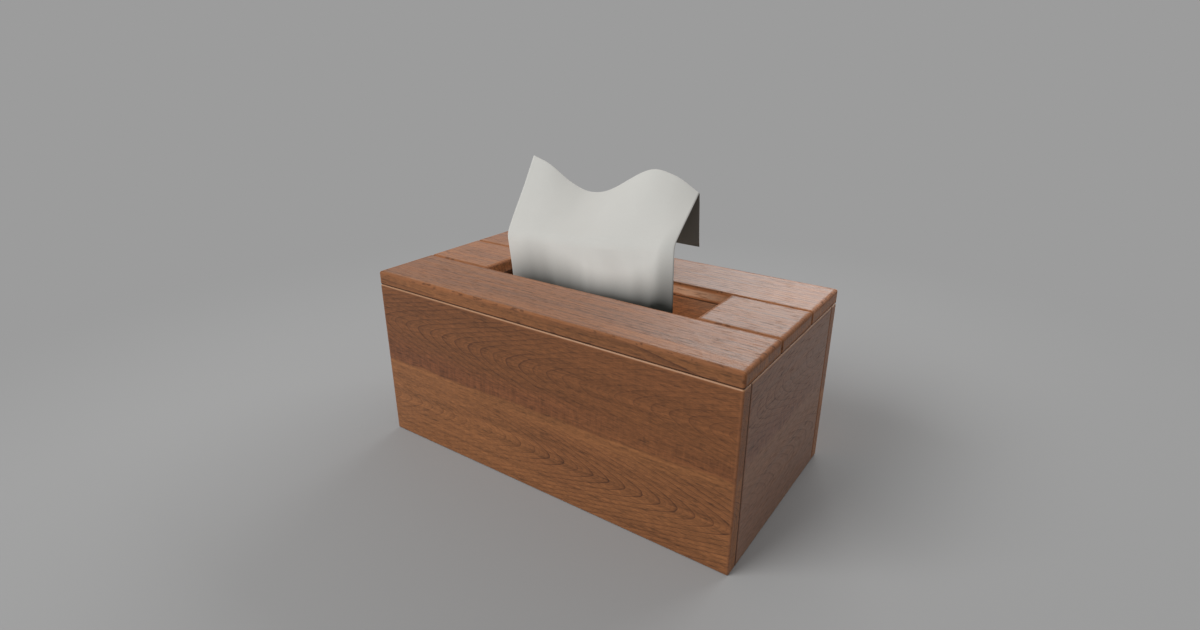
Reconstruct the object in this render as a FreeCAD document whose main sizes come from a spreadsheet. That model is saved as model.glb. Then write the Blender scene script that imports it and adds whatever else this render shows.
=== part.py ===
import FreeCAD, Part
import math
import os
import Sketcher

# A wooden tissue box, in millimetres. The front faces -Y, the length runs along X
# and the origin is the middle of the footprint, on the surface that the box stands on.

V = FreeCAD.Vector
doc = FreeCAD.newDocument("TissueBox")
sheet = doc.addObject("Spreadsheet::Sheet", "Sizes")

SIZES = [
    # The outside of the closed box
    ("box_length", 262.0),
    ("box_width", 140.0),
    ("box_height", 120.0),
    # Walls and base
    ("board_thickness", 9.0),
    ("board_round", 1.2),
    ("base_thickness", 5.0),
    ("base_recess", 4.0),
    ("groove_depth", 4.0),
    ("groove_play", 0.2),
    ("panel_gap", 0.5),
    # Dowels in the corner joints
    ("dowel_diameter", 4.0),
    ("dowel_in_board", 6.0),
    ("dowel_in_end", 15.0),
    ("dowel_end_gap", 0.5),
    ("dowel_play", 0.05),
    ("dowel_bevel", 0.5),
    ("dowel_first_height", 22.0),
    ("dowel_spacing", 34.0),
    ("dowels_per_corner", 3),
    # Lid slats and the blocks that close the middle row at both ends
    ("lid_thickness", 9.0),
    ("lid_round", 1.5),
    ("lid_under_bevel", 0.5),
    ("slat_width", 46.7),
    ("left_block_length", 53.0),
    ("right_block_length", 50.2),
    # Cleats under the lid
    ("cleat_width", 25.0),
    ("cleat_thickness", 8.0),
    ("cleat_gap", 0.5),
    ("cleat_bevel", 1.5),
    # Lid screws, driven up through the cleats
    ("screw_diameter", 3.0),
    ("screw_length", 14.0),
    ("screw_tip_length", 2.5),
    ("screw_tip_diameter", 0.6),
    ("screw_head_diameter", 6.0),
    ("screw_head_height", 1.7),
    ("screw_spacing", 18.0),
    ("screw_play", 0.1),
    ("recess_length", 3.4),
    ("recess_width", 0.8),
    ("recess_depth", 1.1),
    # The folded pack of tissues
    ("pack_end_gap", 22.0),
    ("pack_side_gap", 9.0),
    ("pack_height", 58.0),
    ("pack_round", 2.0),
    # The sheet that stands in the slot
    ("sheet_thickness", 0.8),
    ("sheet_gap", 0.3),
    ("sheet_tail", 45.0),
    ("sheet_fan", 37.0),
    ("sheet_neck", 14.0),
    ("sheet_left_gap", 12.0),
    ("sheet_right_gap", 21.0),
    ("sheet_front_gap", 8.3),
    ("bend_left", 24.0),
    ("bend_right", 37.0),
    ("bend_round", 7.0),
    ("ridge_lean", 29.0),
    ("ridge_round", 3.0),
    ("ridge_left", 71.0),
    ("ridge_valley", 52.0),
    ("ridge_right", 72.0),
    ("ridge_end", 60.5),
    ("hem_height", 28.0),
    ("flute_depth", 1.5),
    ("flute_count", 5),
]

for row, (alias, value) in enumerate(SIZES, 1):
    sheet.set(f"A{row}", alias)
    sheet.set(f"B{row}", str(value))
    sheet.setAlias(f"B{row}", alias)
doc.recompute()


def size(alias):
    """The number in a cell of the sheet."""
    return float(sheet.get(alias))


# Lengths that follow from the sheet, as expressions
BOARD = "Sizes.board_thickness"
WALL_HEIGHT = "(Sizes.box_height - Sizes.lid_thickness)"
INNER_LENGTH = "(Sizes.box_length - 2 * Sizes.board_thickness)"
INNER_WIDTH = "(Sizes.box_width - 2 * Sizes.board_thickness)"
PANEL_LENGTH = f"({INNER_LENGTH} + 2 * Sizes.groove_depth - 2 * Sizes.panel_gap)"
PANEL_WIDTH = f"({INNER_WIDTH} + 2 * Sizes.groove_depth - 2 * Sizes.panel_gap)"
PACK_LENGTH = f"({INNER_LENGTH} - 2 * Sizes.pack_end_gap)"
PACK_WIDTH = f"({INNER_WIDTH} - 2 * Sizes.pack_side_gap)"
PACK_BASE = "(Sizes.base_recess + Sizes.base_thickness)"
BLOCK_WIDTH = "(Sizes.box_width - 2 * Sizes.slat_width)"
CLEAT_LENGTH = f"({INNER_WIDTH} - 2 * Sizes.cleat_gap)"
CLEAT_MIDDLE = f"({INNER_LENGTH} / 2 - Sizes.cleat_gap - Sizes.cleat_width / 2)"
SLAT_PITCH = "(Sizes.box_width / 2 - Sizes.slat_width / 2)"
DOWEL_X = "(Sizes.box_length / 2 - Sizes.board_thickness / 2)"
DOWEL_RANGE = "((Sizes.dowels_per_corner - 1) * Sizes.dowel_spacing)"
DOWEL_HOLE = "(Sizes.dowel_diameter / 2 + Sizes.dowel_play)"
PILOT_HOLE = "(Sizes.screw_diameter / 2 + Sizes.screw_play)"
PILOT_DEPTH = "(Sizes.screw_length - Sizes.cleat_thickness + Sizes.screw_play)"

ALONG_Y = FreeCAD.Rotation(V(1, 0, 0), -90)
ALONG_X = FreeCAD.Rotation(V(0, 1, 0), 90)
FACING_FRONT = FreeCAD.Rotation()
FACING_BACK = FreeCAD.Rotation(V(0, 0, 1), 180)
FACING_LEFT = FreeCAD.Rotation(V(0, 0, 1), -90)
FACING_RIGHT = FreeCAD.Rotation(V(0, 0, 1), 90)

NEAR = 0.1
pieces = []


def origin(body, role):
    """One of the body's own axes or planes."""
    return next(o for o in body.Origin.OriginFeatures if o.Role == role)


def bind(feature, **expressions):
    """Binds properties to expressions; x, y and z are the feature's place."""
    for name, text in expressions.items():
        path = f"Placement.Base.{name}" if name in ("x", "y", "z") else name
        feature.setExpression(path, text)


def new_body(label):
    body = doc.addObject("PartDesign::Body", label.title().replace("_", ""))
    body.Label = label
    pieces.append(body)
    return body


def stock(label, across, deep, tall):
    """A sawn board: a rectangle centred on Y's axis, with one long side on X's, padded up."""
    body = new_body(label)
    outline = body.newObject("Sketcher::SketchObject", f"{body.Name}Outline")
    outline.AttachmentSupport = [(origin(body, "XY_Plane"), "")]
    outline.MapMode = "FlatFace"
    corners = [V(-10, 0, 0), V(10, 0, 0), V(10, 5, 0), V(-10, 5, 0)]
    for i, corner in enumerate(corners):
        outline.addGeometry(Part.LineSegment(corner, corners[(i + 1) % 4]), False)
    for i in range(4):
        outline.addConstraint(Sketcher.Constraint("Coincident", i, 2, (i + 1) % 4, 1))
    outline.addConstraint(Sketcher.Constraint("Vertical", 1))
    outline.addConstraint(Sketcher.Constraint("Horizontal", 2))
    outline.addConstraint(Sketcher.Constraint("Vertical", 3))
    outline.addConstraint(Sketcher.Constraint("Symmetric", 0, 1, 0, 2, -2))
    outline.addConstraint(Sketcher.Constraint("PointOnObject", 0, 1, -1))
    long_side = outline.addConstraint(Sketcher.Constraint("DistanceX", 0, 1, 0, 2, 20))
    outline.renameConstraint(long_side, "across")
    short_side = outline.addConstraint(Sketcher.Constraint("DistanceY", 1, 1, 1, 2, 5))
    outline.renameConstraint(short_side, "deep")
    outline.setExpression("Constraints.across", across)
    outline.setExpression("Constraints.deep", deep)
    pad = body.newObject("PartDesign::Pad", f"{body.Name}Stock")
    pad.Profile = outline
    pad.setExpression("Length", tall)
    doc.recompute()
    return body


def dress(body, kind, amount, wanted):
    """Rounds or bevels the edges of the body for which wanted(middle, edge) is true."""
    base = body.Tip
    names = []
    for number, edge in enumerate(base.Shape.Edges, 1):
        if wanted(edge.BoundBox.Center, edge):
            names.append(f"Edge{number}")
    feature = body.newObject(f"PartDesign::{kind}", f"{base.Name}{kind}")
    feature.Base = (base, names)
    feature.setExpression("Radius" if kind == "Fillet" else "Size", amount)
    body.Tip = feature
    doc.recompute()
    return feature


def cut_box(body, name, length, width, height, **place):
    tool = body.newObject("PartDesign::SubtractiveBox", f"{body.Name}{name}")
    bind(tool, Length=length, Width=width, Height=height, **place)
    return tool


def cut_round(body, name, radius, depth, turn=None, **place):
    tool = body.newObject("PartDesign::SubtractiveCylinder", f"{body.Name}{name}")
    if turn is not None:
        tool.Placement.Rotation = turn
    bind(tool, Radius=radius, Height=depth, **place)
    return tool


def repeat(body, name, features, rows):
    """Repeats features, or the whole body, in rows of (axis role, length, count) or mirrored."""
    group = body.newObject("PartDesign::MultiTransform", f"{body.Name}{name}")
    group.TransformMode = "Features" if features else "Whole shape"
    group.Originals = features
    steps = []
    for number, (role, length, count) in enumerate(rows, 1):
        if role.endswith("Plane"):
            step = body.newObject("PartDesign::Mirrored", f"{group.Name}Step{number}")
            step.MirrorPlane = (origin(body, role), [""])
        else:
            step = body.newObject("PartDesign::LinearPattern", f"{group.Name}Step{number}")
            step.Direction = (origin(body, role), [""])
            bind(step, Length=length, Occurrences=count)
        steps.append(step)
    group.Transformations = steps
    body.Tip = group
    doc.recompute()
    return group


# The front and back boards run the whole length. Their outer arrises and their ends are rounded,
# and their inner faces have a stopped groove for the base and blind holes for the dowels.
def long_board(label, y, turn):
    body = stock(label, "Sizes.box_length", BOARD, WALL_HEIGHT)
    end = size("box_length") / 2
    dress(body, "Fillet", "Sizes.board_round",
          lambda at, edge: at.y < NEAR or abs(at.x) > end - NEAR)
    cut_box(body, "Groove",
            f"{INNER_LENGTH} + 2 * Sizes.groove_depth", "Sizes.groove_depth",
            "Sizes.base_thickness + Sizes.groove_play",
            x=f"-({INNER_LENGTH} / 2 + Sizes.groove_depth)",
            y=f"{BOARD} - Sizes.groove_depth", z="Sizes.base_recess")
    hole = cut_round(body, "DowelHole", DOWEL_HOLE, "Sizes.dowel_in_board", ALONG_Y,
                     x=f"-{DOWEL_X}", y=f"{BOARD} - Sizes.dowel_in_board",
                     z="Sizes.dowel_first_height")
    repeat(body, "DowelHoles", [hole],
           [("X_Axis", f"2 * {DOWEL_X}", "2"),
            ("Z_Axis", DOWEL_RANGE, "Sizes.dowels_per_corner")])
    body.Placement.Rotation = turn
    bind(body, y=y)


long_board("front_board", "-Sizes.box_width / 2", FACING_FRONT)
long_board("back_board", "Sizes.box_width / 2", FACING_BACK)


# The end boards stand between the long ones. The base groove runs right through their length,
# and the dowels enter their end grain.
def end_board(label, x, turn):
    body = stock(label, INNER_WIDTH, BOARD, WALL_HEIGHT)
    dress(body, "Fillet", "Sizes.board_round", lambda at, edge: at.y < NEAR)
    cut_box(body, "Groove", INNER_WIDTH, "Sizes.groove_depth",
            "Sizes.base_thickness + Sizes.groove_play",
            x=f"-{INNER_WIDTH} / 2", y=f"{BOARD} - Sizes.groove_depth", z="Sizes.base_recess")
    hole = cut_round(body, "DowelHole", DOWEL_HOLE, "Sizes.dowel_in_end", ALONG_X,
                     x=f"-{INNER_WIDTH} / 2", y=f"{BOARD} / 2", z="Sizes.dowel_first_height")
    repeat(body, "DowelHoles", [hole],
           [("Z_Axis", DOWEL_RANGE, "Sizes.dowels_per_corner"), ("YZ_Plane", None, None)])
    body.Placement.Rotation = turn
    bind(body, x=x)


end_board("left_end_board", "-Sizes.box_length / 2", FACING_LEFT)
end_board("right_end_board", "Sizes.box_length / 2", FACING_RIGHT)


# The base is a thin panel whose four edges lie in the grooves of the boards.
base = stock("base_panel", PANEL_LENGTH, PANEL_WIDTH, "Sizes.base_thickness")
bind(base, y=f"-{PANEL_WIDTH} / 2", z="Sizes.base_recess")


# Dowels cross each corner joint, from the end grain of the end board into the long board.
dowels = new_body("corner_dowels")
dowels.AllowCompound = True
pin = dowels.newObject("PartDesign::AdditiveCylinder", "DowelPin")
pin.Placement.Rotation = ALONG_Y
bind(pin, Radius="Sizes.dowel_diameter / 2",
     Height="Sizes.dowel_in_board + Sizes.dowel_in_end - 2 * Sizes.dowel_end_gap",
     x=f"-{DOWEL_X}",
     y=f"{INNER_WIDTH} / 2 - Sizes.dowel_in_end + Sizes.dowel_end_gap",
     z="Sizes.dowel_first_height")
doc.recompute()
dress(dowels, "Chamfer", "Sizes.dowel_bevel", lambda at, edge: edge.Curve.TypeId == "Part::GeomCircle")
dowel_rows = [("X_Axis", f"2 * {DOWEL_X}", "2"),
              ("Z_Axis", DOWEL_RANGE, "Sizes.dowels_per_corner"),
              ("XZ_Plane", None, None)]
repeat(dowels, "Group", [], dowel_rows)


# The lid: two full-length slats with a row of two blocks between them, which leaves the slot.
def lid_piece(label, length, width, first_hole, more_holes):
    """A lid board with pilot holes in pairs: the first pair at an x, and more rows if given."""
    body = stock(label, length, width, "Sizes.lid_thickness")
    dress(body, "Fillet", "Sizes.lid_round", lambda at, edge: at.z > NEAR)
    dress(body, "Chamfer", "Sizes.lid_under_bevel", lambda at, edge: at.z < NEAR)
    pilot = cut_round(body, "Pilot", PILOT_HOLE, PILOT_DEPTH,
                      x=first_hole, y=f"{width} / 2 - Sizes.screw_spacing / 2")
    repeat(body, "Pilots", [pilot], [("Y_Axis", "Sizes.screw_spacing", "2")] + more_holes)
    return body


def slat(label, y, turn):
    body = lid_piece(label, "Sizes.box_length", "Sizes.slat_width", f"-{CLEAT_MIDDLE}",
                     [("X_Axis", f"2 * {CLEAT_MIDDLE}", "2")])
    body.Placement.Rotation = turn
    bind(body, y=y, z=WALL_HEIGHT)


slat("lid_front_slat", "-Sizes.box_width / 2", FACING_FRONT)
slat("lid_back_slat", "Sizes.box_width / 2", FACING_BACK)

for side, sign in (("left", "-"), ("right", "")):
    block_length = f"Sizes.{side}_block_length"
    block_middle = f"(Sizes.box_length / 2 - {block_length} / 2)"
    block = lid_piece(f"lid_{side}_block", block_length, BLOCK_WIDTH,
                      f"{sign}({CLEAT_MIDDLE} - {block_middle})", [])
    bind(block, x=f"{sign}{block_middle}", y=f"-{BLOCK_WIDTH} / 2", z=WALL_HEIGHT)


# Two cleats tie the slats together from below and keep the lid from sliding on the walls.
def cleat(label, sign):
    body = stock(label, "Sizes.cleat_width", CLEAT_LENGTH, "Sizes.cleat_thickness")
    dress(body, "Chamfer", "Sizes.cleat_bevel", lambda at, edge: at.z < NEAR)
    first = f"{CLEAT_LENGTH} / 2 - {SLAT_PITCH} - Sizes.screw_spacing / 2"
    through = cut_round(body, "ShankHole", PILOT_HOLE, "Sizes.cleat_thickness", y=first)
    sink = body.newObject("PartDesign::SubtractiveCone", f"{body.Name}Sink")
    bind(sink, Radius1="Sizes.screw_head_diameter / 2 + Sizes.screw_play", Radius2=PILOT_HOLE,
         Height="Sizes.screw_head_height", y=first)
    repeat(body, "Holes", [through, sink],
           [("Y_Axis", "Sizes.screw_spacing", "2"), ("Y_Axis", f"2 * {SLAT_PITCH}", "3")])
    bind(body, x=f"{sign}{CLEAT_MIDDLE}", y=f"-{CLEAT_LENGTH} / 2",
         z=f"{WALL_HEIGHT} - Sizes.cleat_thickness")


cleat("lid_left_cleat", "-")
cleat("lid_right_cleat", "")


# Countersunk screws stand head down in the cleats, two to each slat or block.
screws = new_body("lid_screws")
screws.AllowCompound = True
shank = screws.newObject("PartDesign::AdditiveCylinder", "ScrewShank")
bind(shank, Radius="Sizes.screw_diameter / 2", Height="Sizes.screw_length - Sizes.screw_tip_length")
tip = screws.newObject("PartDesign::AdditiveCone", "ScrewTip")
bind(tip, Radius1="Sizes.screw_diameter / 2", Radius2="Sizes.screw_tip_diameter / 2",
     Height="Sizes.screw_tip_length", z="Sizes.screw_length - Sizes.screw_tip_length")
head = screws.newObject("PartDesign::AdditiveCone", "ScrewHead")
bind(head, Radius1="Sizes.screw_head_diameter / 2", Radius2="Sizes.screw_diameter / 2",
     Height="Sizes.screw_head_height")
doc.recompute()
for name, long_way, short_way in (("RecessA", "length", "width"), ("RecessB", "width", "length")):
    cut_box(screws, name, f"Sizes.recess_{long_way}", f"Sizes.recess_{short_way}",
            "Sizes.recess_depth", x=f"-Sizes.recess_{long_way} / 2",
            y=f"-Sizes.recess_{short_way} / 2")
screw_rows = [("X_Axis", f"2 * {CLEAT_MIDDLE}", "2"),
              ("Y_Axis", "Sizes.screw_spacing", "2"),
              ("Y_Axis", f"2 * {SLAT_PITCH}", "3")]
repeat(screws, "Group", [], screw_rows)
bind(screws, x=f"-{CLEAT_MIDDLE}", y=f"-{SLAT_PITCH} - Sizes.screw_spacing / 2",
     z=f"{WALL_HEIGHT} - Sizes.cleat_thickness")
doc.recompute()


# The pack of folded tissues is one soft block, with its folds rounded along both long sides.
pack = stock("tissue_pack", PACK_LENGTH, PACK_WIDTH, "Sizes.pack_height")
dress(pack, "Fillet", "Sizes.pack_round", lambda at, edge: abs(at.x) < NEAR)
bind(pack, y=f"-{PACK_WIDTH} / 2", z=PACK_BASE)


def smooth_step(share):
    """Goes from 0 to 1 with level ends."""
    return (1 - math.cos(math.pi * share)) / 2


def along(points, place):
    """The value at a place on a curve through (place, value) points, level at each of them."""
    for (left, low), (right, high) in zip(points, points[1:]):
        if place <= right:
            return low + (high - low) * smooth_step((place - left) / (right - left))
    return points[-1][1]


def offset_line(points, distance):
    """A line in the YZ plane beside another, at a distance to its left."""
    moved = []
    for i, (y, z) in enumerate(points):
        before = points[max(i - 1, 0)]
        after = points[min(i + 1, len(points) - 1)]
        near = [(y - before[0], z - before[1]), (after[0] - y, after[1] - z)]
        near = [(a / math.hypot(a, b), b / math.hypot(a, b)) for a, b in near if math.hypot(a, b) > 0]
        aim_y = sum(a for a, b in near)
        aim_z = sum(b for a, b in near)
        reach = math.hypot(aim_y, aim_z)
        normal = (-aim_z / reach, aim_y / reach)
        square = normal[0] * -near[0][1] + normal[1] * near[0][0]
        moved.append((y + normal[0] * distance / square, z + normal[1] * distance / square))
    return moved


def toward(start, goal, distance):
    """The point at a distance from start on the way to goal."""
    share = distance / math.hypot(goal[0] - start[0], goal[1] - start[1])
    return (start[0] + (goal[0] - start[0]) * share, start[1] + (goal[1] - start[1]) * share)


# The first poles of a line, from the tail to just above the foot, lie spread out over the pack,
# and the neck pole below the slot is where the sheet is fully drawn together.
FANNED_POLES = 4


# The sheet that stands in the slot. Its tail lies on the pack over the pack's whole length, and
# it draws together as it rises just behind the front slat. Above the lid it leans back over
# a wavy ridge and ends in a short flap that hangs behind.
def sheet_line(share, flute):
    """The sheet's middle line in the YZ plane, at a share of its width from -1 to 1."""
    lid_top = size("box_height")
    low = size("base_recess") + size("base_thickness") + size("pack_height")
    low += size("sheet_gap") + size("sheet_thickness") / 2
    front = size("slat_width") - size("box_width") / 2 + size("sheet_front_gap") + flute
    bend = lid_top + along([(-1, size("bend_left")), (1, size("bend_right"))], share)
    ridge = lid_top + along(
        [(-1, size("ridge_left")), (-0.22, size("ridge_valley")),
         (0.52, size("ridge_right")), (1, size("ridge_end"))], share)
    upright = front - flute
    back = upright + size("ridge_lean")
    foot = (front, low)
    knee = (upright, bend)
    crest = (back, ridge)
    tail = (front + size("sheet_tail"), low)
    hem = (back, lid_top + size("hem_height"))
    turn, fold = size("bend_round"), size("ridge_round")
    slot = (front, lid_top - size("lid_thickness"))
    neck = (front, slot[1] - size("sheet_neck"))
    return [tail, toward(foot, tail, turn), foot, toward(foot, neck, turn), neck, slot,
            toward(knee, slot, turn), knee, toward(knee, crest, turn),
            toward(crest, knee, fold), crest, toward(crest, hem, fold), hem]


def sheet_face(side):
    """One of the sheet's two faces, a smooth surface over a net of poles, four to a flute."""
    left = -size("box_length") / 2 + size("left_block_length") + size("sheet_left_gap")
    right = size("box_length") / 2 - size("right_block_length") - size("sheet_right_gap")
    columns = int(4 * size("flute_count")) + 1
    net = []
    for i in range(columns):
        share = 2 * i / (columns - 1) - 1
        flute = size("flute_depth") * math.sin(math.pi * i / 2)
        line = offset_line(sheet_line(share, flute), side * size("sheet_thickness") / 2)
        drawn = (left + right) / 2 + share * (right - left) / 2
        fanned = drawn + share * size("sheet_fan")
        net.append([V(fanned if i < FANNED_POLES else drawn, y, z) for i, (y, z) in enumerate(line)])
    rows = len(net[0])
    surface = Part.BSplineSurface()
    surface.buildFromPolesMultsKnots(
        net,
        [3] + [1] * (columns - 3) + [3], [3] + [1] * (rows - 3) + [3],
        [float(i) for i in range(columns - 1)], [float(i) for i in range(rows - 1)],
        False, False, 2, 2)
    return surface


def closed_sheet():
    front, back = sheet_face(1), sheet_face(-1)
    faces = [front.toShape(), back.toShape()]
    u_low, u_high, v_low, v_high = front.bounds()
    for one, other in ((front.uIso(u_low), back.uIso(u_low)), (front.uIso(u_high), back.uIso(u_high)),
                       (front.vIso(v_low), back.vIso(v_low)), (front.vIso(v_high), back.vIso(v_high))):
        faces.append(Part.makeRuledSurface(one.toShape(), other.toShape(), 1))
    shell = Part.makeShell(faces)
    shell.sewShape()
    solid = Part.makeSolid(Part.Shell(shell.Faces))
    if solid.Volume < 0:
        solid.reverse()
    return solid


pulled = doc.addObject("Part::Feature", "PulledTissue")
pulled.Label = "pulled_tissue"
pulled.Shape = closed_sheet()
pulled.Placement = FreeCAD.Placement()
pieces.append(pulled)

doc.recompute()
for item in doc.Objects:
    if "Invalid" in item.State or "Error" in item.State:
        raise RuntimeError(f"{item.Label} failed: {item.State}")
for piece in pieces:
    if piece.Shape.isNull() or not piece.Shape.isValid():
        raise RuntimeError(f"{piece.Label} has no valid shape")

os.makedirs("parts", exist_ok=True)
for piece in pieces:
    piece.Shape.exportStep(f"parts/{piece.Label}.step")
    box = piece.Shape.BoundBox
    print(f"{piece.Label}: {len(piece.Shape.Solids)} solid(s), {piece.Shape.Volume / 1000:.2f} cm3, "
          f"x {box.XMin:.2f} {box.XMax:.2f}, y {box.YMin:.2f} {box.YMax:.2f}, "
          f"z {box.ZMin:.2f} {box.ZMax:.2f}")
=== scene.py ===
# %% [markdown]
# # A wooden tissue box with a tissue standing in its slot
# The box is eight boards of oiled reddish brown hardwood: four walls, and a lid of two long slats
# with a short block between them at each end. Two cleats and twelve screws hold the lid together
# from below, a thin panel closes the box at the bottom, and a pack of folded tissues lies inside.
# The boards come finished in shape from the construction model. This script gives every piece its
# surface, and models what that model only holds as plain solids: the standing tissue and the pack.

import math
import random

import bmesh
import bpy
from mathutils import Matrix, Vector, noise


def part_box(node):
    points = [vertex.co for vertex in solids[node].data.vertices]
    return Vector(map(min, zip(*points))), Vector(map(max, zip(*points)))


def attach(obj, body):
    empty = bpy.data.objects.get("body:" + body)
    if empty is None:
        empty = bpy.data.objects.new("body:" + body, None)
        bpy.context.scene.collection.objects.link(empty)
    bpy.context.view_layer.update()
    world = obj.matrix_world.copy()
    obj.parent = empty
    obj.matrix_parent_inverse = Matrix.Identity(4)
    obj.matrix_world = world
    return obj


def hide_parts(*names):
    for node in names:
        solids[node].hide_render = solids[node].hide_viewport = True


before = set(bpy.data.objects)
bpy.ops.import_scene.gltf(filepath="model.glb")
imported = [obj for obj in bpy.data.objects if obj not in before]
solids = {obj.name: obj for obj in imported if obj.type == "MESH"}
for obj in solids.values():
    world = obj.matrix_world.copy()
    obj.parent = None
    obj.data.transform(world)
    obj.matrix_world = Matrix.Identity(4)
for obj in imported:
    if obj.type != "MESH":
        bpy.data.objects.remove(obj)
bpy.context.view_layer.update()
print("pieces in the frame:", ", ".join(sorted(solids)))

# %% [markdown]
# ## The places that everything else is worked out from
# A box maker measures from the finished boards, and so does this script. The slot is what the two
# slats and the two blocks leave free, and the tissue stands in it.

# %% Places
MM = 0.001
lid_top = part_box("lid_front_slat")[1].z
lid_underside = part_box("lid_front_slat")[0].z
slot_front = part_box("lid_front_slat")[1].y
slot_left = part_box("lid_left_block")[1].x
slot_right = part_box("lid_right_block")[0].x
pack_low, pack_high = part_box("tissue_pack")
print("slot length in millimetres:", round(1000 * (slot_right - slot_left), 1))

# %% [markdown]
# ## The camera
# The photograph's perspective was solved from the box's straight edges. It was taken close up with
# a wide lens, so the upright edges lean together towards the bottom.

# %% Camera
CAMERA_PLACE = Vector((0.2352, -0.3370, 0.2616))
CAMERA_TURN = math.radians(34.905)
CAMERA_TILT = math.radians(22.007)
FOCAL_PIXELS = 675.5
IMAGE_WIDTH = 1200
FILM_WIDTH = 36.0

lens = bpy.data.cameras.new("camera")
lens.sensor_width = FILM_WIDTH
lens.lens = FOCAL_PIXELS / IMAGE_WIDTH * FILM_WIDTH
lens.clip_start = 0.01
camera = bpy.data.objects.new("camera", lens)
bpy.context.scene.collection.objects.link(camera)
backward = Vector((math.sin(CAMERA_TURN) * math.cos(CAMERA_TILT),
                   -math.cos(CAMERA_TURN) * math.cos(CAMERA_TILT),
                   math.sin(CAMERA_TILT)))
camera.location = CAMERA_PLACE
camera.rotation_euler = (-backward).to_track_quat("-Z", "Y").to_euler()
bpy.context.scene.camera = camera
bpy.context.scene.view_settings.view_transform = "Standard"
print("lens in millimetres:", round(lens.lens, 2))

# %% [markdown]
# ## The floor
# A box like this stands on a table. Here it stands on a plain round floor, so wide that no view
# reaches its rim. One small function turns a finished form into an object at the origin, because
# three pieces need it.

# %% Floor
FLOOR_RADIUS = 9.0
FLOOR_CORNERS = 96


def piece_from(form, name):
    """An object at the origin whose mesh is the finished form."""
    mesh = bpy.data.meshes.new(name)
    form.to_mesh(mesh)
    form.free()
    piece = bpy.data.objects.new(name, mesh)
    bpy.context.scene.collection.objects.link(piece)
    return piece


floor_form = bmesh.new()
bmesh.ops.create_circle(floor_form, cap_ends=True, segments=FLOOR_CORNERS, radius=FLOOR_RADIUS)
floor = piece_from(floor_form, "floor")
print("floor radius in metres:", FLOOR_RADIUS)

# %% [markdown]
# ## Small helpers for shader nodes
# A procedural material is a net of small nodes. These helpers make one node a call, and an input
# may be a number or another node's output, so that a net reads like a sum.

# %% Node helpers
def put(tree, kind, inputs, output=0, **settings):
    """Adds a node, sets or links its inputs, and gives back one of its outputs. It gives back all
    of them where output is None."""
    made = tree.nodes.new(kind)
    for name, value in settings.items():
        setattr(made, name, value)
    for name, value in inputs.items():
        socket = made.inputs[name]
        if isinstance(value, bpy.types.NodeSocket):
            tree.links.new(value, socket)
        else:
            socket.default_value = value
    return made.outputs if output is None else made.outputs[output]


def calc(tree, operation, *values):
    """A Math node over numbers or outputs."""
    return put(tree, "ShaderNodeMath", dict(enumerate(values)), operation=operation)


def vector_of(tree, operation, *values):
    """A Vector Math node over vectors or outputs."""
    return put(tree, "ShaderNodeVectorMath", dict(enumerate(values)), operation=operation)


def step_of(tree, value, low, high):
    """0 below low, 1 above high, and smooth between."""
    return put(tree, "ShaderNodeMapRange",
               {"Value": value, "From Min": low, "From Max": high},
               interpolation_type="SMOOTHSTEP")


def new_material(name):
    """A material; gives it, its tree of nodes and its Principled shader."""
    material = bpy.data.materials.new(name)
    material.use_nodes = True
    return material, material.node_tree, material.node_tree.nodes["Principled BSDF"]


# %% [markdown]
# ## Floor paint and sky
# Near the box the floor is matt grey paint, which takes the box's shadow. Away from the box it
# turns into the same even grey as the sky behind it, for the rays that show it, so that no horizon
# shows. The sky's white light, weak and even from all sides, is kept apart from that grey, because
# a darker background may not darken the box.
#
# A screen colour isn't a measure of light. It has a curve in it, which a small function takes out
# before a shader works with the colour.

# %% Floor paint and sky
def srgb(red, green, blue):
    """A screen colour, 0 to 255 a channel, as the linear colour that shaders work in."""
    shares = [value / 255 for value in (red, green, blue)]
    return tuple(((share + 0.055) / 1.055) ** 2.4 for share in shares) + (1.0,)


BACKDROP = srgb(156, 156, 156)
FLOOR_COLOUR = srgb(165, 165, 165)
SKY_WHITE = (1.0, 1.0, 1.0, 1.0)
SKY_LEVEL = 0.30
FADE_FROM = 0.22
FADE_TO = 0.60


def rays_that_look(tree):
    """1 for the rays that show a surface, in the camera or in gloss or glass, and 0 for the rest."""
    path = put(tree, "ShaderNodeLightPath", {}, output=None)
    seen = calc(tree, "MAXIMUM", path["Is Camera Ray"], path["Is Glossy Ray"])
    return calc(tree, "MAXIMUM", seen, path["Is Transmission Ray"])


floor_paint, tree, matt = new_material("floor_paint")
matt.inputs["Base Color"].default_value = FLOOR_COLOUR
matt.inputs["Roughness"].default_value = 1.0
matt.inputs["Specular IOR Level"].default_value = 0.0
even = put(tree, "ShaderNodeEmission", {"Color": BACKDROP})
ground = put(tree, "ShaderNodeTexCoord", {}, output="Object")
distance = put(tree, "ShaderNodeVectorMath", {0: ground}, output="Value", operation="LENGTH")
far = calc(tree, "MULTIPLY", rays_that_look(tree), step_of(tree, distance, FADE_FROM, FADE_TO))
faded = put(tree, "ShaderNodeMixShader", {0: far, 1: matt.outputs[0], 2: even})
tree.links.new(faded, tree.nodes["Material Output"].inputs["Surface"])
floor.data.materials.append(floor_paint)

world = bpy.data.worlds.new("even_sky")
bpy.context.scene.world = world
world.use_nodes = True
tree = world.node_tree
lit = tree.nodes["Background"]
lit.inputs["Color"].default_value = SKY_WHITE
lit.inputs["Strength"].default_value = SKY_LEVEL
shown = put(tree, "ShaderNodeBackground", {"Color": BACKDROP})
both = put(tree, "ShaderNodeMixShader", {0: rays_that_look(tree), 1: lit.outputs[0], 2: shown})
tree.links.new(both, tree.nodes["World Output"].inputs["Surface"])
print("background as linear grey:", round(BACKDROP[0], 3))

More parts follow.
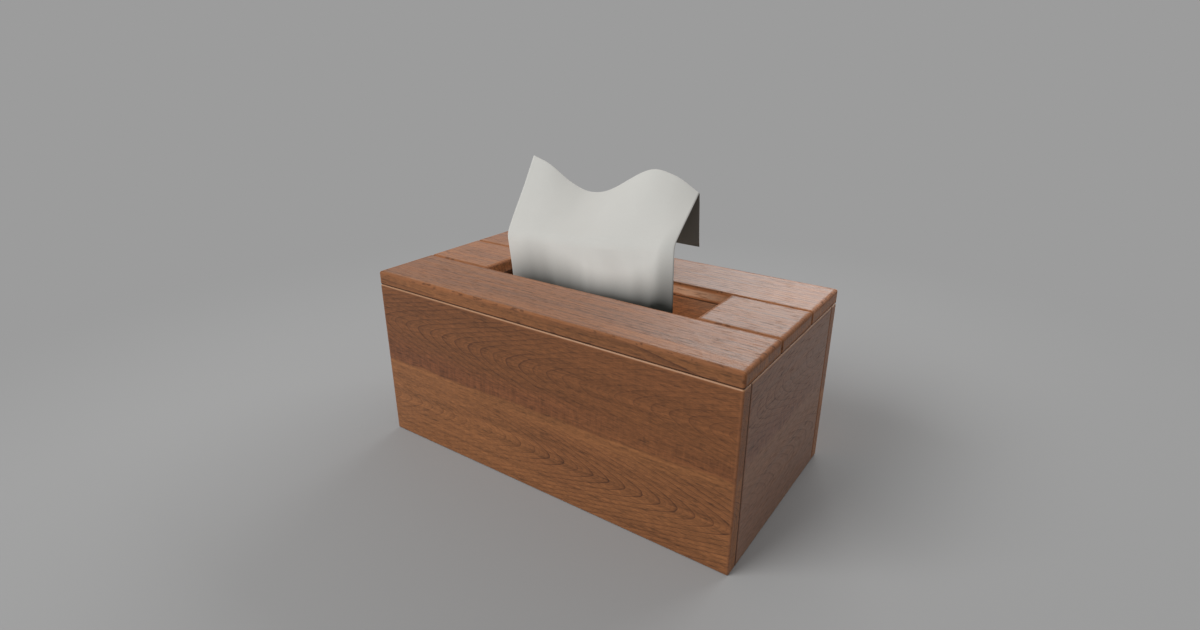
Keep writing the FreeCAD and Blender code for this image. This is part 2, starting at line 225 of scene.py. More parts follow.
# %% [markdown]
# ## Wide lamps
# A wide lamp at the front left is the key. It lights the long front and leaves the right end in
# soft shade. Two more stand low behind the box, where the eye's line bounces off the lid, and lay
# the pale sheen on the oiled top: a strong one for the right part, and a weak one for the left.
# In the photograph the tissue throws no shadow into that sheen. So both lamps pass through the
# tissue: in the light of a lamp that has a blocker collection, only that collection throws shadows.

# %% Wide lamps
BOX_MIDDLE = Vector((0.0, 0.0, 0.1))


def softbox(name, place, width, height, watts):
    """A wide lamp at a place, turned to face the box."""
    light = bpy.data.lights.new(name, "AREA")
    light.shape = "RECTANGLE"
    light.size = width
    light.size_y = height
    light.energy = watts
    lamp = bpy.data.objects.new(name, light)
    lamp.location = place
    towards_box = BOX_MIDDLE - Vector(place)
    lamp.rotation_euler = towards_box.to_track_quat("-Z", "Y").to_euler()
    bpy.context.scene.collection.objects.link(lamp)
    print(f"{name}: {watts} W at {towards_box.length:.2f} m")
    return lamp


def collection_of(name, members):
    """A collection of objects for light linking. It isn't shown in the scene."""
    made = bpy.data.collections.new(name)
    for member in members:
        made.objects.link(member)
    return made


softbox("key", place=(-0.85, -1.5, 1.6), width=1.4, height=1.0, watts=35)
sheen = softbox("sheen", place=(0.1, 1.65, 0.98), width=2.0, height=0.8, watts=20)
low_sheen = softbox("low_sheen", place=(-1.8, 1.65, 0.98), width=1.6, height=0.8, watts=2.2)

all_but_tissue = [solid for name, solid in solids.items() if name != "pulled_tissue"]
shading = collection_of("shading_sheen", all_but_tissue + [floor])
for lamp in (sheen, low_sheen):
    lamp.light_linking.blocker_collection = shading

# %% [markdown]
# ## Light inside the box
# Light that falls through a slot bounces about inside a box, takes on the colour of the wood and
# makes the walls glow. Tracing many bounces would show that, but slowly. Small warm lamps inside do
# it at once. A receiver collection names the one board that each falls on, and keeps it off the
# tissue. Only the floor may block it, so that no other board stands in its way.

# %% Lamps inside
INSIDE_PLACE = (0.02, -0.045, 0.087)
INSIDE_WATTS = {"back_board": 0.27, "lid_back_slat": 0.16, "left_end_board": 0.055,
                "lid_left_block": 0.035}
WARM = (1.0, 0.80, 0.60)
GLOW_RADIUS = 15 * MM

floor_only = collection_of("floor_only", [floor])
for name, watts in INSIDE_WATTS.items():
    glow = bpy.data.lights.new(f"glow_on_{name}", "POINT")
    glow.energy = watts
    glow.color = WARM
    glow.shadow_soft_size = GLOW_RADIUS
    lamp = bpy.data.objects.new(glow.name, glow)
    lamp.location = INSIDE_PLACE
    lamp.light_linking.receiver_collection = collection_of(f"lit_{name}", [solids[name]])
    lamp.light_linking.blocker_collection = floor_only
    bpy.context.scene.collection.objects.link(lamp)
print("lamps:", len(bpy.data.lights))

# %% [markdown]
# ## More helpers: noise, mixing and groups
# Noise is stretched before it is made, because fibres are long and thin, and a colour is mixed from
# two by a share. What more than one material needs is built once as a group of nodes.

# %% Noise, mixing and groups
NOISE_ROUGHNESS = 0.55


def noise_of(tree, vector, waves, detail=2.0, output="Fac", distortion=0.0):
    """Noise from 0 to 1, with its own number of waves a metre along X, Y and Z."""
    stretched = vector_of(tree, "MULTIPLY", vector, waves)
    return put(tree, "ShaderNodeTexNoise",
               {"Vector": stretched, "Scale": 1.0, "Detail": detail,
                "Roughness": NOISE_ROUGHNESS, "Distortion": distortion}, output=output)


def swing(tree, share):
    """How far a share from 0 to 1 is above or below its middle."""
    return calc(tree, "SUBTRACT", share, 0.5)


def rest_of(tree, share):
    """1 less a share."""
    return calc(tree, "SUBTRACT", 1.0, share)


def mixed(tree, share, one, other):
    """A colour between two, by a share from 0 to 1."""
    return put(tree, "ShaderNodeMix", {"Factor": share, "A": one, "B": other},
               output="Result", data_type="RGBA")


def clamp_mixed(tree, share, one, other):
    """A colour between two, by a number that counts only from 0 to 1."""
    return mixed(tree, put(tree, "ShaderNodeClamp", {"Value": share}), one, other)


def scaled(tree, colour, level):
    """A colour made lighter or darker."""
    return put(tree, "ShaderNodeVectorMath", {0: colour, "Scale": level}, operation="SCALE")


def parts_of(tree, vector):
    """X, Y and Z of a vector."""
    return put(tree, "ShaderNodeSeparateXYZ", {"Vector": vector}, output=None)


def new_group(name, inputs, outputs):
    """A node group with named sockets; gives the group, its inputs and its output sockets."""
    group = bpy.data.node_groups.new(name, "ShaderNodeTree")
    for label, kind in inputs:
        group.interface.new_socket(label, in_out="INPUT", socket_type=f"NodeSocket{kind}")
    for label, kind in outputs:
        group.interface.new_socket(label, in_out="OUTPUT", socket_type=f"NodeSocket{kind}")
    entry = group.nodes.new("NodeGroupInput")
    ending = group.nodes.new("NodeGroupOutput")
    return group, entry.outputs, ending.inputs


def place_group(tree, group, inputs):
    """Puts a node group into a material, and gives back its outputs."""
    return put(tree, "ShaderNodeGroup", inputs, output=None, node_tree=group)


# %% [markdown]
# ## Grain of a flat-sawn board
# A tree's rings are cones, wide at the foot and narrow at the top. A board sawn beside the heart
# cuts them in arches, one inside the next, with their tips along the board. So the ring number of
# a point is its distance from the heart line, less a share of its place along the grain. A picture
# of wood would do for one face. A formula in three directions is better here, because the same
# rings then run round each edge and come out on the end grain.
#
# The board in front has two such sets of arches. The upper one points left and the lower one
# points right, and they meet in a line along the board. The group's inputs say where that line and
# the two hearts are.

# %% Grain group: rings
WANDER_WAVES, WANDER = (4, 13, 13), 9 * MM
RIPPLE_WAVES, RIPPLE = (22, 120, 120), 1.3 * MM

grain, given, result = new_group(
    "flat_sawn_grain",
    [("Vector", "Vector"), ("Lower Wood", "Color"), ("Upper Wood", "Color"), ("Band Wood", "Color"),
     ("Late Wood", "Color"), ("Upper Heart", "Float"), ("Lower Heart", "Float"),
     ("Meeting", "Float"), ("Heart Depth", "Float"), ("Taper", "Float"), ("Ring Gap", "Float"),
     ("Streaks", "Float"), ("Seed", "Float")],
    [("Color", "Color"), ("Roughness", "Float"), ("Height", "Float")])

seeded = put(grain, "ShaderNodeCombineXYZ",
             {"X": given["Seed"], "Y": given["Seed"], "Z": given["Seed"]})
place = vector_of(grain, "ADD", given["Vector"], seeded)
bent = given["Vector"]
for waves, reach in ((WANDER_WAVES, WANDER), (RIPPLE_WAVES, RIPPLE)):
    sway = noise_of(grain, place, waves, output="Color")
    sway = vector_of(grain, "SUBTRACT", sway, (0.5, 0.5, 0.5))
    bent = vector_of(grain, "ADD", bent, vector_of(grain, "MULTIPLY", sway, (0, reach, reach)))
along, across, depth = parts_of(grain, bent)

# Above the meeting line the arches belong to the upper heart, below it to the lower one
upper = calc(grain, "GREATER_THAN", across, given["Meeting"])
between = calc(grain, "SUBTRACT", given["Upper Heart"], given["Lower Heart"])
heart = calc(grain, "MULTIPLY_ADD", upper, between, given["Lower Heart"])
lean = calc(grain, "MULTIPLY_ADD", upper, -2.0, 1.0)
aside = calc(grain, "SUBTRACT", across, heart)
inward = calc(grain, "SUBTRACT", depth, given["Heart Depth"])
from_heart = calc(grain, "SQRT", calc(grain, "ADD", calc(grain, "MULTIPLY", aside, aside),
                                      calc(grain, "MULTIPLY", inward, inward)))
shift = calc(grain, "MULTIPLY", calc(grain, "MULTIPLY", lean, given["Taper"]), along)
ring = calc(grain, "DIVIDE", calc(grain, "ADD", from_heart, shift), given["Ring Gap"])
print("grain group, rings:", len(grain.nodes), "nodes")

# %% [markdown]
# ### Lines of late wood
# A tree grows pale wood in spring and dark wood late in the year. So a ring darkens slowly, ends in
# a thin dark line, and starts pale again. A high power of the ring number's fraction does just
# that. The years differ, and finer lines lie between. Each set of arches is clear at its own end of
# the board and fades towards the other, and near the meeting line both fade.

# %% Grain group: late wood
LATE_POWER = 5.5
YEAR_SWING, YEAR_LEAST = 0.5, 0.38
FINE_COUNT, FINE_POWER, FINE_SHARE = 3.0, 4.0, 0.36
MEETING_FADE = (1 * MM, 12 * MM)
OWN_END = (-50 * MM, 30 * MM)
OWN_GAIN, FAR_SHARE = 0.42, 0.6

late = calc(grain, "POWER", calc(grain, "FRACT", ring), LATE_POWER)
year = put(grain, "ShaderNodeTexWhiteNoise", {"W": calc(grain, "FLOOR", ring)},
           output="Value", noise_dimensions="1D")
late = calc(grain, "MULTIPLY", late, calc(grain, "MULTIPLY_ADD", year, YEAR_SWING, YEAR_LEAST))
fine = calc(grain, "FRACT", calc(grain, "MULTIPLY", ring, FINE_COUNT))
lines = calc(grain, "MULTIPLY_ADD", calc(grain, "POWER", fine, FINE_POWER), FINE_SHARE, late)
off_meeting = calc(grain, "ABSOLUTE", calc(grain, "SUBTRACT", across, given["Meeting"]))
lines = calc(grain, "MULTIPLY", lines, step_of(grain, off_meeting, *MEETING_FADE))
own_end = step_of(grain, calc(grain, "MULTIPLY", lean, along), *OWN_END)
lines = calc(grain, "MULTIPLY", lines, calc(grain, "MULTIPLY_ADD", own_end, OWN_GAIN, FAR_SHARE))
print("grain group, with late wood:", len(grain.nodes), "nodes")

# %% [markdown]
# ### The colours of the wood
# The wood above the meeting line is a little darker, and reddest in a band just above it, which has
# a crisp lower border and fades to the right. Soft clouds run through all of it. The group mixes
# four colours by masks, so that each board can have its own four.

# %% Grain group: colours
CLOUD_WAVES = (6, 24, 24)
BORDER_WAVES, BORDER_REACH = (17, 30, 30), 9 * MM
BORDER = (-1.2 * MM, 2.0 * MM)
BAND_TOP = (4 * MM, 22 * MM)
BAND_END = (-35 * MM, 75 * MM)
BAND_END_LOSS = -0.5
BAND_REDNESS = 0.85
CLOUD_REDNESS, CLOUD_DEPTH = 1.6, 0.9

ragged = swing(grain, noise_of(grain, place, BORDER_WAVES, detail=3.0))
above = calc(grain, "MULTIPLY_ADD", ragged, BORDER_REACH,
             calc(grain, "SUBTRACT", across, given["Meeting"]))
in_upper = step_of(grain, above, *BORDER)
band = calc(grain, "MULTIPLY", in_upper, rest_of(grain, step_of(grain, above, *BAND_TOP)))
band = calc(grain, "MULTIPLY", band, calc(grain, "MULTIPLY_ADD", step_of(grain, along, *BAND_END),
                                          BAND_END_LOSS, 1.0))
clouded = swing(grain, noise_of(grain, place, CLOUD_WAVES, detail=3.0))
reddish = calc(grain, "MULTIPLY_ADD", clouded, CLOUD_REDNESS,
               calc(grain, "MULTIPLY", band, BAND_REDNESS))
deeper = calc(grain, "MULTIPLY_ADD", clouded, CLOUD_DEPTH, in_upper)
tint = clamp_mixed(grain, deeper, given["Lower Wood"], given["Upper Wood"])
tint = clamp_mixed(grain, reddish, tint, given["Band Wood"])
tint = clamp_mixed(grain, lines, tint, given["Late Wood"])
print("grain group, with colours:", len(grain.nodes), "nodes")

# %% [markdown]
# ### Fibres, curls and pores
# Close up, a hardwood shows fine long fibres, short dark pores, and a close figure that curls
# across the grain, most in the band. They only make the colour lighter or darker. The oil leaves
# streaks in the gloss as well, and the pores are small hollows.

# %% Grain group: fibres
STREAK_WAVES = (9, 300, 300)
SPECKLE_WAVES, SPECKLE_SHARE = (240, 900, 900), 1.1
CURL_WAVES = (600, 110, 110)
CURL_IN_BAND, CURL_AT_OWN_END, CURL_ELSEWHERE = 0.8, -0.1, 0.18
PORE_WAVES, PORE_STEP = (120, 1400, 1400), (0.60, 0.74)
PORE_SHADE, PORE_ROUGH, PORE_DEPTH = -0.24, 0.15, -0.7
OIL_ROUGH, STREAK_ROUGH, LINE_ROUGH = 0.43, 0.22, 0.06
STREAK_HEIGHT, LINE_DEPTH = 0.6, -0.3

streak = noise_of(grain, place, STREAK_WAVES, detail=4.0)
speckle = noise_of(grain, place, SPECKLE_WAVES, distortion=0.8)
curl = noise_of(grain, place, CURL_WAVES, detail=1.0, distortion=0.5)
pores = step_of(grain, noise_of(grain, place, PORE_WAVES, detail=0.0), *PORE_STEP)

fibre = calc(grain, "MULTIPLY_ADD", swing(grain, streak), given["Streaks"], 1.0)
curls = calc(grain, "MULTIPLY_ADD", own_end, CURL_AT_OWN_END, CURL_ELSEWHERE)
curls = calc(grain, "MULTIPLY_ADD", band, CURL_IN_BAND, curls)
curled = calc(grain, "MULTIPLY", swing(grain, curl), curls)
fleck = calc(grain, "MULTIPLY_ADD", swing(grain, speckle), SPECKLE_SHARE, curled)
level = calc(grain, "MULTIPLY_ADD", pores, PORE_SHADE, calc(grain, "ADD", fibre, fleck))
grain.links.new(scaled(grain, tint, level), result["Color"])

rough = calc(grain, "MULTIPLY_ADD", lines, LINE_ROUGH, OIL_ROUGH)
rough = calc(grain, "MULTIPLY_ADD", swing(grain, streak), STREAK_ROUGH, rough)
grain.links.new(calc(grain, "MULTIPLY_ADD", pores, PORE_ROUGH, rough), result["Roughness"])
bumps = calc(grain, "MULTIPLY_ADD", pores, PORE_DEPTH,
             calc(grain, "MULTIPLY", streak, STREAK_HEIGHT))
grain.links.new(calc(grain, "MULTIPLY_ADD", lines, LINE_DEPTH, bumps), result["Height"])
print("grain group, complete:", len(grain.nodes), "nodes")

# %% [markdown]
# ## Edge of a board
# Sanding and handling leave the arrises a little more orange, with small dark nicks, most of them
# on the lid. Blender's Bevel node finds edges by casting rays, which slows a render. Here the way
# to the nearest edge follows from the board's half size: of a surface point's three distances to
# the faces, one is nought, and the smaller of the other two is that way.

# %% Arris group
RAGGED_WAVES, RAGGED_SHARE = (160, 160, 160), 0.5
EDGE_CORE = 0.3
NICK_WAVES, NICK_STEP = (150, 380, 380), (0.57, 0.66)

arris, given, result = new_group(
    "board_arris",
    [("Vector", "Vector"), ("Half Size", "Vector"), ("Width", "Float"), ("Seed", "Float")],
    [("Edge", "Float"), ("Nicks", "Float")])
from_middle = vector_of(arris, "ABSOLUTE", given["Vector"])
to_faces = vector_of(arris, "SUBTRACT", given["Half Size"], from_middle)
face_x, face_y, face_z = parts_of(arris, to_faces)
total = calc(arris, "ADD", calc(arris, "ADD", face_x, face_y), face_z)
largest = calc(arris, "MAXIMUM", calc(arris, "MAXIMUM", face_x, face_y), face_z)
to_edge = calc(arris, "SUBTRACT", total, largest)

seeded = put(arris, "ShaderNodeCombineXYZ", {"X": given["Seed"], "Y": given["Seed"]})
worn = noise_of(arris, vector_of(arris, "ADD", given["Vector"], seeded), RAGGED_WAVES)
loose = calc(arris, "MULTIPLY_ADD", swing(arris, worn),
             calc(arris, "MULTIPLY", given["Width"], RAGGED_SHARE), to_edge)
core = calc(arris, "MULTIPLY", given["Width"], EDGE_CORE)
edge = rest_of(arris, step_of(arris, loose, core, given["Width"]))
nicks = noise_of(arris, given["Vector"], NICK_WAVES, detail=3.0)
arris.links.new(edge, result["Edge"])
arris.links.new(calc(arris, "MULTIPLY", step_of(arris, nicks, *NICK_STEP), edge), result["Nicks"])
print("arris group:", len(arris.nodes), "nodes")

# %% [markdown]
# ## A finish for each board
# Each board gets a material of its own, because its grain has its own hearts and its own seed. The
# board's middle is taken to the origin and a Mapping node turns the board, so that the grain always
# runs along X and the wide face looks along Z. Painted shade darkens the lid's boards along their
# lowest edge, where they sit on the walls, the end walls are darker in the seams at the corners,
# and a painted highlight lies pale along the top edge of the walls.

# %% Board finish
RIGHT_ANGLE = math.pi / 2
FLAT = Matrix.Identity(3)
UPRIGHT = Matrix.Rotation(-RIGHT_ANGLE, 3, "X")
CROSSWISE = Matrix.Rotation(-RIGHT_ANGLE, 3, "Z")
UPRIGHT_CROSSWISE = UPRIGHT @ CROSSWISE

EDGE_TINT = srgb(154, 99, 62)
NICK_TINT = srgb(62, 34, 20)
# Painted shade along the lid's lowest edge, also the colour of the darker corner seams
SHADE_AND_SEAM_TINT = srgb(44, 26, 16)
# Colour of the painted highlight on the walls' rounded top edge
TOP_HIGHLIGHT_TINT = srgb(196, 148, 108)
UNDER_RIM = (0.6 * MM, 1.3 * MM)
SIDE_RIM = (1.0 * MM, 0.4 * MM)
TOP_RIM = (1.1 * MM, 0.6 * MM)
GRAIN_RELIEF = 0.15 * MM


def board_finish(name, turn, woods, hearts, seed, taper=0.25, ring_gap=2.8 * MM, streaks=0.6,
                 arris_width=2.2 * MM, edge_share=0.55, edge_rough=0.0, nick_share=0.25,
                 painted_under_shade=0.0, side_line=0.0, painted_top_highlight=0.0):
    """Gives a board of the frame its wood.

    woods are its colours below and above the meeting line, in the band and in the late wood.
    hearts are the heights of the upper and lower heart and of the meeting line, from the board's
    middle, and the depth of the hearts, in millimetres. taper is how fast the rings narrow along
    the board. The values from streaks on, apart from the arris's width, are strengths from 0 up:
    of the fibres' streaks, of the arris's tint, roughness and nicks, of the painted shade along
    the lowest edge, of the darker seams at both sides, and of the painted highlight on the top edge.
    """
    low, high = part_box(name)
    middle, half_size = (low + high) / 2, (high - low) / 2
    wood, tree, shader = new_material(f"{name}_wood")
    local = put(tree, "ShaderNodeTexCoord", {}, output="Object")
    centred = vector_of(tree, "SUBTRACT", local, tuple(middle))
    turned = put(tree, "ShaderNodeMapping", {"Vector": centred, "Rotation": tuple(turn.to_euler())})
    upper_heart, lower_heart, meeting, heart_depth = (value * MM for value in hearts)
    sawn = place_group(tree, grain, {
        "Vector": turned, "Lower Wood": woods[0], "Upper Wood": woods[1], "Band Wood": woods[2],
        "Late Wood": woods[3], "Upper Heart": upper_heart, "Lower Heart": lower_heart,
        "Meeting": meeting, "Heart Depth": heart_depth, "Taper": taper, "Ring Gap": ring_gap,
        "Streaks": streaks, "Seed": seed})
    rim = place_group(tree, arris, {
        "Vector": centred, "Half Size": tuple(half_size), "Width": arris_width, "Seed": seed})

    sideways, height = parts_of(tree, local)[1:]
    # Painted shade along the lowest edge of the lid's boards, where they sit on the walls
    over = step_of(tree, height, low.z + UNDER_RIM[0], low.z + UNDER_RIM[1])
    under = calc(tree, "MULTIPLY", rest_of(tree, over), painted_under_shade)
    seam = step_of(tree, calc(tree, "ABSOLUTE", sideways),
                   half_size.y - SIDE_RIM[0], half_size.y - SIDE_RIM[1])
    under_shade_and_seams = calc(tree, "MAXIMUM", under, calc(tree, "MULTIPLY", seam, side_line))
    # Painted highlight along the rounded top edge of the walls
    top_highlight = step_of(tree, height, high.z - TOP_RIM[0], high.z - TOP_RIM[1])
    tint = sawn["Color"]
    for mask, share, colour in ((rim["Edge"], edge_share, EDGE_TINT),
                                (rim["Nicks"], nick_share, NICK_TINT),
                                (under_shade_and_seams, 1.0, SHADE_AND_SEAM_TINT),
                                (top_highlight, painted_top_highlight, TOP_HIGHLIGHT_TINT)):
        tint = mixed(tree, calc(tree, "MULTIPLY", mask, share), tint, colour)
    rough = calc(tree, "MULTIPLY_ADD", rim["Edge"], edge_rough, sawn["Roughness"])
    relief = put(tree, "ShaderNodeBump",
                 {"Height": sawn["Height"], "Strength": 0.25, "Distance": GRAIN_RELIEF})
    tree.links.new(tint, shader.inputs["Base Color"])
    tree.links.new(rough, shader.inputs["Roughness"])
    tree.links.new(relief, shader.inputs["Normal"])
    shader.inputs["IOR"].default_value = 1.5
    board = solids[name]
    board.data.materials.clear()
    board.data.materials.append(wood)


# %% [markdown]
# ## Walls, lid, panel, cleats and dowels
# The front board's two hearts and the meeting line stand where the photograph shows them, and the
# others are sawn from the same tree. The end boards' wood is greyer, a painted stand-in for the grey
# sheen that glancing light lays on them, and their rings are fainter. The lid's boards have nearly
# straight grain and rougher arrises, so that the sheen stops short of the edge.

# %% Boards
WALL_WOOD = (srgb(153, 99, 58), srgb(133, 83, 47), srgb(127, 76, 46), srgb(84, 48, 28))
# Greyer end wood: a painted grey sheen, as a glancing reflection lays on the ends
END_WOOD_AND_SHEEN = (srgb(146, 109, 88), srgb(139, 103, 84), srgb(133, 95, 78), srgb(112, 79, 64))
LID_WOOD = (srgb(143, 92, 54), srgb(133, 84, 50), srgb(124, 76, 47), srgb(88, 52, 31))
PANEL_WOOD = (srgb(176, 140, 100), srgb(170, 134, 94), srgb(160, 122, 84), srgb(140, 104, 70))
DOWEL_WOOD = (srgb(196, 160, 116), srgb(190, 152, 110), srgb(182, 144, 104), srgb(160, 120, 82))

# Walls get a painted highlight on their top edge, and the lid's boards painted shade low down
LONG_WALL = {"streaks": 1.0, "painted_top_highlight": 0.6}
END_WALL = {"side_line": 0.7, "painted_top_highlight": 0.6}
LID = {"taper": 0.02, "ring_gap": 3.1 * MM, "streaks": 1.5, "arris_width": 2.8 * MM,
       "edge_rough": 0.45, "nick_share": 0.6, "painted_under_shade": 0.85}
PLAIN = {}
DOWEL = {"ring_gap": 1.6 * MM, "edge_share": 0.0}

BOARDS = (
    ("front_board", UPRIGHT, WALL_WOOD, (30.0, -26.0, 1.5, 9.5), 0.0, LONG_WALL),
    ("back_board", UPRIGHT, WALL_WOOD, (24.0, -31.0, -4.0, -10.5), 3.1, LONG_WALL),
    ("left_end_board", UPRIGHT_CROSSWISE, END_WOOD_AND_SHEEN, (26.0, -30.0, 0.0, 10.5), 5.7, END_WALL),
    ("right_end_board", UPRIGHT_CROSSWISE, END_WOOD_AND_SHEEN, (34.0, -24.0, 4.0, -10.5), 8.3, END_WALL),
    ("lid_front_slat", FLAT, LID_WOOD, (48.0, -52.0, 40.0, -9.0), 11.9, LID),
    ("lid_back_slat", FLAT, LID_WOOD, (44.0, -50.0, 38.0, -9.0), 14.2, LID),
    ("lid_left_block", FLAT, LID_WOOD, (50.0, -47.0, 44.0, -9.0), 17.7, LID),
    ("lid_right_block", FLAT, LID_WOOD, (46.0, -49.0, 42.0, -9.0), 20.4, LID),
    ("lid_left_cleat", CROSSWISE, LID_WOOD, (30.0, -40.0, 20.0, -9.0), 23.3, PLAIN),
    ("lid_right_cleat", CROSSWISE, LID_WOOD, (30.0, -40.0, 20.0, -9.0), 26.1, PLAIN),
    ("base_panel", FLAT, PANEL_WOOD, (70.0, -66.0, 20.0, -14.0), 29.5, PLAIN),
    ("corner_dowels", CROSSWISE, DOWEL_WOOD, (50.0, -50.0, 40.0, -9.0), 31.8, DOWEL))
for name, turn, woods, hearts, seed, look in BOARDS:
    board_finish(name, turn, woods, hearts, seed, **look)
print("wooden pieces finished:", len(BOARDS))

# %% [markdown]
# ## The standing tissue
# One two-ply tissue, 200 by 205 mm when it lies flat. Its tail still lies on the pack, and it
# draws together as it rises behind the front slat. Above the lid it leans back over a wavy ridge
# and drops in a short flap behind. It could be simulated as cloth, but a stiff paper fold keeps
# the shape that the hand gave it, and a simulation would have to be steered to it. So a fine flat
# grid is laid over a line that is bent like the paper, with a little of its own unevenness.

# %% Curves through chosen points
def smooth_through(points, at):
    """The value at a place on a smooth curve through (place, value) points."""
    index = 0
    while index < len(points) - 2 and at > points[index + 1][0]:
        index += 1
    (left, low), (right, high) = points[index], points[index + 1]
    before = points[max(index - 1, 0)]
    after = points[min(index + 2, len(points) - 1)]
    rise_in = (high - before[1]) / (right - before[0])
    rise_out = (after[1] - low) / (after[0] - left)
    span = right - left
    share = min(max((at - left) / span, 0.0), 1.0)
    square, cube = share ** 2, share ** 3
    return ((2 * cube - 3 * square + 1) * low + (cube - 2 * square + share) * span * rise_in
            + (3 * square - 2 * cube) * high + (cube - square) * span * rise_out)


def on_line(poles, share):
    """A point at a share of a line that bends smoothly past its poles."""
    spans = len(poles) - 2
    index = min(int(share * spans), spans - 1)
    t = share * spans - index
    start = poles[0] if index == 0 else (poles[index] + poles[index + 1]) / 2
    turn = poles[index + 1]
    end = poles[-1] if index == spans - 1 else (poles[index + 1] + poles[index + 2]) / 2
    return start * (1 - t) ** 2 + turn * 2 * t * (1 - t) + end * t ** 2


def toward(start, goal, distance):
    """The point that lies a distance from a start on the way to a goal."""
    return start + (goal - start).normalized() * distance


# %% [markdown]
# ### The line that the paper follows
# Seen from its edge, the paper is one line: forward over the pack, up through the slot, back over
# the knee to the ridge, and down to the hem. Heights of the knee and the ridge are read off the
# photograph, in millimetres above the lid, from the left edge, at -1, to the right one, at 1. The
# gaps are the millimetres that the paper leaves free at the slot's left and right end.

# %% The tissue's line
EDGE_GAPS = {"slot": (18.0, 18.8), "knee": (13.5, 19.6), "ridge": (15.0, 20.4), "hem": (13.0, 18.4)}
RISE = slot_front + 8.3 * MM
LEAN = 29 * MM
TAIL = 45 * MM
FAN = 37 * MM
NECK = 14 * MM
OVER_PACK = 0.7 * MM
FOOT_ROUND = 7 * MM
KNEE_ROUND = 9 * MM
RIDGE_ROUND = 3 * MM
HEM = lid_top + 29 * MM
KNEE = [(-1, 24), (0, 29), (1, 36.5)]
RIDGE = [(-1, 72), (-0.78, 67.6), (-0.5, 57.6), (-0.27, 53.1), (-0.02, 55.7), (0.46, 71.4),
         (0.74, 69.6), (1, 61.2)]
FLUTES = 5
FLUTE_DEPTH = 0.45 * MM
FLUTE_UNEVEN = 0.5 * MM
FLUTE_WAVES = 9
FANNED_POLES = 4


def edge_to_edge(level, across):
    """The place along the slot of a share of the tissue's width, at one of its levels."""
    left, right = slot_left + EDGE_GAPS[level][0] * MM, slot_right - EDGE_GAPS[level][1] * MM
    return (left + right) / 2 + across * (right - left) / 2


def tissue_poles(across):
    """The poles of the tissue's line at a share of its width from -1 to 1."""
    flute = FLUTE_DEPTH * math.sin(2 * math.pi * FLUTES * (across + 1) / 2)
    flute += FLUTE_UNEVEN * noise.noise(Vector((across * FLUTE_WAVES, 0.3, 1.7)))
    bottom = pack_high.z + OVER_PACK
    drawn = edge_to_edge("slot", across)
    knee_height = lid_top + MM * smooth_through(KNEE, across)
    ridge_height = lid_top + MM * smooth_through(RIDGE, across)
    tail = Vector((drawn, RISE + flute + TAIL, bottom))
    foot = Vector((drawn, RISE + flute, bottom))
    slot = Vector((drawn, RISE + flute, lid_underside))
    neck = slot - Vector((0, 0, NECK))
    knee = Vector((edge_to_edge("knee", across), RISE, knee_height))
    crest = Vector((edge_to_edge("ridge", across), RISE + LEAN, ridge_height))
    hem = Vector((edge_to_edge("hem", across), RISE + LEAN, HEM))
    poles = [tail, toward(foot, tail, FOOT_ROUND), foot, toward(foot, neck, FOOT_ROUND), neck, slot,
             toward(knee, slot, KNEE_ROUND), knee, toward(knee, crest, KNEE_ROUND),
             toward(crest, knee, RIDGE_ROUND), crest, toward(crest, hem, RIDGE_ROUND), hem]
    for pole in poles[:FANNED_POLES]:
        pole.x += across * FAN
    return poles


middle_poles = tissue_poles(0.0)
print("ridge above the lid in millimetres:", round((middle_poles[-3].z - lid_top) / MM, 1))

# %% [markdown]
# ### Shade that lies in the paper
# The photograph shows the paper nearly black inside the fold, and a soft dark gradient where it
# comes out of the slot, in uneven streaks. The leaning part would catch more light from above than
# the upright part, and the photograph shows both alike, so a little shade evens that out. These
# shades are kept as attributes of the mesh, which the paper's material reads.

# %% The tissue's shades
SHADE_REACH = [(-1, 22), (-0.9, 25), (-0.7, 31), (-0.25, 24), (0.1, 17), (0.5, 20), (0.65, 25),
               (0.73, 27), (0.79, 31), (0.87, 46), (1, 58)]
SHADE_LEVEL = [(-1, 0.5), (-0.85, 0.8), (-0.65, 0.9), (0.05, 0.86), (0.35, 0.92), (0.6, 0.98),
               (0.73, 0.98), (0.79, 1.08), (0.87, 1.10), (1, 1.03)]
SHADE_FOOT = lid_top - 3.7 * MM
SHADE_POWER = 1.5
SKY_GAIN = 0.15
KEY_GAIN = 0.5
STEEPEST_LEAN = 0.8
FOLD_FROM = HEM - 26 * MM
FOLD_REACH = 24 * MM


def outer_shade(across, height, upward):
    """How dark the paper is outside: most at the slot, and a little where it leans to the sky.
    upward is the upright part of the paper's normal."""
    reach = MM * smooth_through(SHADE_REACH, across)
    share = min(max((height - SHADE_FOOT) / reach, 0.0), 1.0)
    at_slot = smooth_through(SHADE_LEVEL, across) * (1 - share) ** SHADE_POWER
    tilt = min(abs(upward), STEEPEST_LEAN)
    gain = SKY_GAIN * tilt + KEY_GAIN * (tilt + math.sqrt(1 - tilt ** 2) - 1)
    return min(at_slot + gain / (1 + gain), 1.0)


def fold_shade(height):
    """How dark the paper is inside the fold, from 0 to 1."""
    return min(max((height - FOLD_FROM) / FOLD_REACH, 0.0), 1.0)


print("shade at the slot's middle:", round(outer_shade(0.0, lid_top, 0.0), 2))

# %% [markdown]
# ### The tissue's mesh
# The grid's X runs across the tissue and its Y along it, both from -1 to 1. Each of its points goes
# to its place on the line, and is moved a little off it where the paper stands free. The shades
# come last, because the outer one needs the normals of the finished form.

# %% The tissue's mesh
ACROSS = 126
ALONG = 154
FLAP_FROM = 0.88
UNEVEN = 0.7 * MM
UNEVEN_WAVES = 38
UNEVEN_FROM = pack_high.z + 6 * MM
UNEVEN_PLACE = Vector((2.0, 5.0, 1.0))

